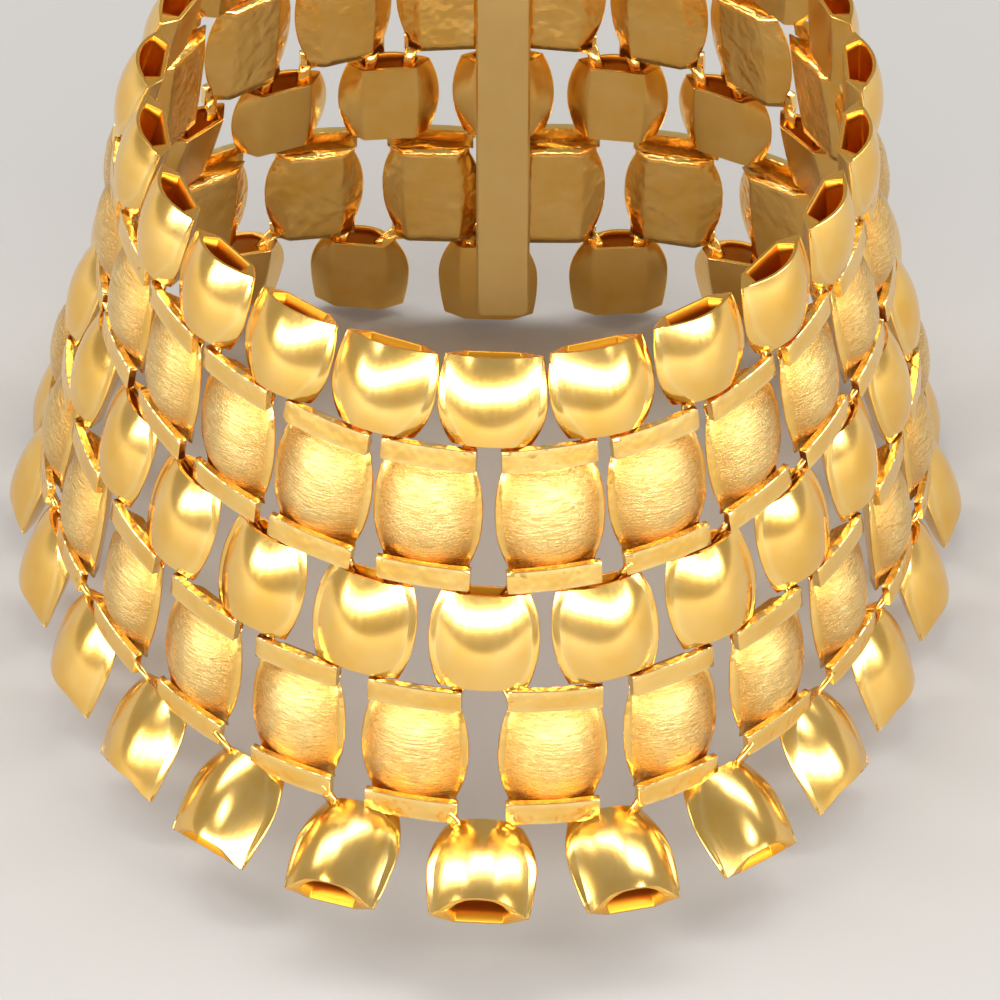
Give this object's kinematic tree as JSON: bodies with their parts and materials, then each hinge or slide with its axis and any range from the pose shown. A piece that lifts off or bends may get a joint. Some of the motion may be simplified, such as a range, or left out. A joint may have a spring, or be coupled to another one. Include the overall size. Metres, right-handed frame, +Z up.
{
  "type": "flexible link collar necklace, ordered as a bangle",
  "caption": "Wide flexible collar of hollow gold-tone links, polished rows alternating with satin barred rows, flaring from the top row to a kicked-out lower edge.",
  "frame": {"origin": "centre of the top row of links, where the collar closes round the neck", "axes": "+Z up along the neck, -Y the front of the collar, +X to the right as seen from the front"},
  "size_m": [0.159, 0.1626, 0.0954],
  "materials": {
    "polished_gold": "polished gold plate over hollow metal, bright with soft highlights",
    "satin_gold": "satin gold plate with fine grain running across each link"
  },
  "bodies": {
    "root": {"clasp": "polished_gold", "link_column_01": "polished_gold", "link_column_02": "polished_gold", "link_column_03": "polished_gold", "link_column_04": "polished_gold", "link_column_05": "polished_gold", "link_column_06": "polished_gold", "link_column_07": "polished_gold", "link_column_08": "polished_gold", "link_column_09": "polished_gold", "link_column_10": "polished_gold", "link_column_11": "polished_gold", "link_column_12": "polished_gold", "link_column_13": "polished_gold", "link_column_14": "polished_gold", "link_column_15": "polished_gold", "link_column_16": "polished_gold", "link_column_17": "polished_gold", "link_column_18": "polished_gold", "link_column_19": "polished_gold", "link_column_20": "polished_gold", "link_column_21": "polished_gold", "link_column_22": "polished_gold"}
  },
  "joints": []
}
